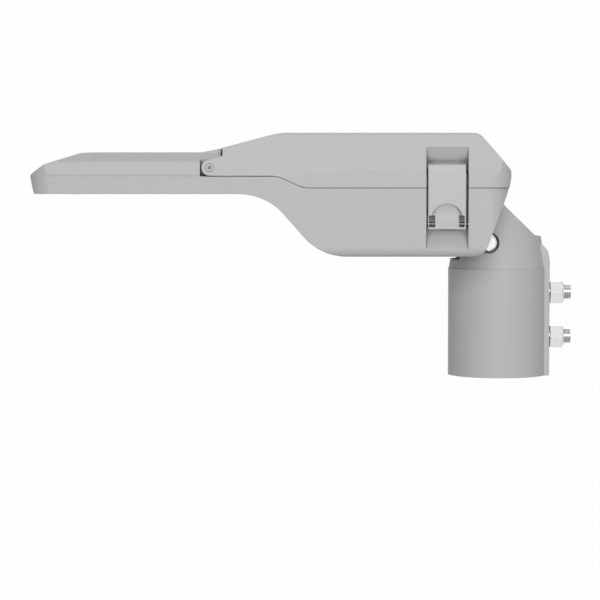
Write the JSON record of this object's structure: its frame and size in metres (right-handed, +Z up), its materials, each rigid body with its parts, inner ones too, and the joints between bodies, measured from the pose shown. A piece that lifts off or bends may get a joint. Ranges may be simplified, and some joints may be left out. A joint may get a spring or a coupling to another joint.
{
  "type": "led street light head",
  "caption": "Grey cast LED street light head with a hinged gear compartment cover, two side latches and a tilting mast fitter.",
  "frame": {"origin": "centre of the mast socket's mouth", "axes": "+Z up along the mast, -X from the mast towards the tip of the head, +Y across"},
  "size_m": [0.4652, 0.2, 0.2115],
  "materials": {
    "grey_paint": "satin powder coat",
    "stainless": "bright",
    "bare_aluminium": "satin",
    "silicone": "matt",
    "clear_glass": "polished",
    "board_white": "matt",
    "chip_yellow": "satin",
    "clear_lens": "polished",
    "black_plastic": "matt",
    "white_plastic": "satin",
    "zinc_steel": "zinc plated"
  },
  "bodies": {
    "fitter": {"mast_fitter": "grey_paint", "tilt_bolt": "stainless", "tilt_nut": "stainless", "tilt_washers": "stainless", "set_screws": "stainless", "lock_nuts": "stainless"},
    "head": {"lower_housing": "grey_paint", "cover_gasket": "silicone", "hinge_pin_left": "stainless", "hinge_pin_right": "stainless", "catch_rod_left": "stainless", "catch_rod_right": "stainless", "lens_frame": "grey_paint", "lens_frame_screws": "stainless", "lens_glass": "clear_glass", "lens_gasket": "silicone", "led_board": "board_white", "board_screws": "stainless", "led_chips": "chip_yellow", "lens_array": "clear_lens", "driver_tray": "zinc_steel", "tray_screws": "stainless", "led_driver": "white_plastic", "surge_protector": "black_plastic", "terminal_block": "white_plastic", "cable_gland": "black_plastic", "breather_valve": "black_plastic", "earth_screw": "zinc_steel"},
    "cover": {"top_cover": "grey_paint", "latch_pin_left": "stainless", "latch_pin_right": "stainless"},
    "latch_left": {"side_latch_left": "grey_paint"},
    "latch_right": {"side_latch_right": "grey_paint"}
  },
  "joints": [
    {"name": "head_tilt", "type": "hinge", "parent": "fitter", "child": "head", "pos_m": [-0.0106, 0, 0.117], "axis": [0, 1, 0], "range_deg": [0, 15]},
    {"name": "cover_hinge", "type": "hinge", "parent": "head", "child": "cover", "pos_m": [-0.2492, 0, 0.1823], "axis": [0, -1, 0], "range_deg": [0, 60]},
    {"name": "latch_left_hinge", "type": "hinge", "parent": "cover", "child": "latch_left", "pos_m": [-0.05015, -0.0943, 0.1805], "axis": [-1, 0, 0], "range_deg": [0, 96]},
    {"name": "latch_right_hinge", "type": "hinge", "parent": "cover", "child": "latch_right", "pos_m": [-0.05015, 0.0943, 0.1805], "axis": [1, 0, 0], "range_deg": [0, 96]}
  ],
  "couplings": [
    {"joint": "latch_left_hinge", "follows": "cover_hinge", "ratio": 1.6},
    {"joint": "latch_right_hinge", "follows": "cover_hinge", "ratio": 1.6}
  ]
}
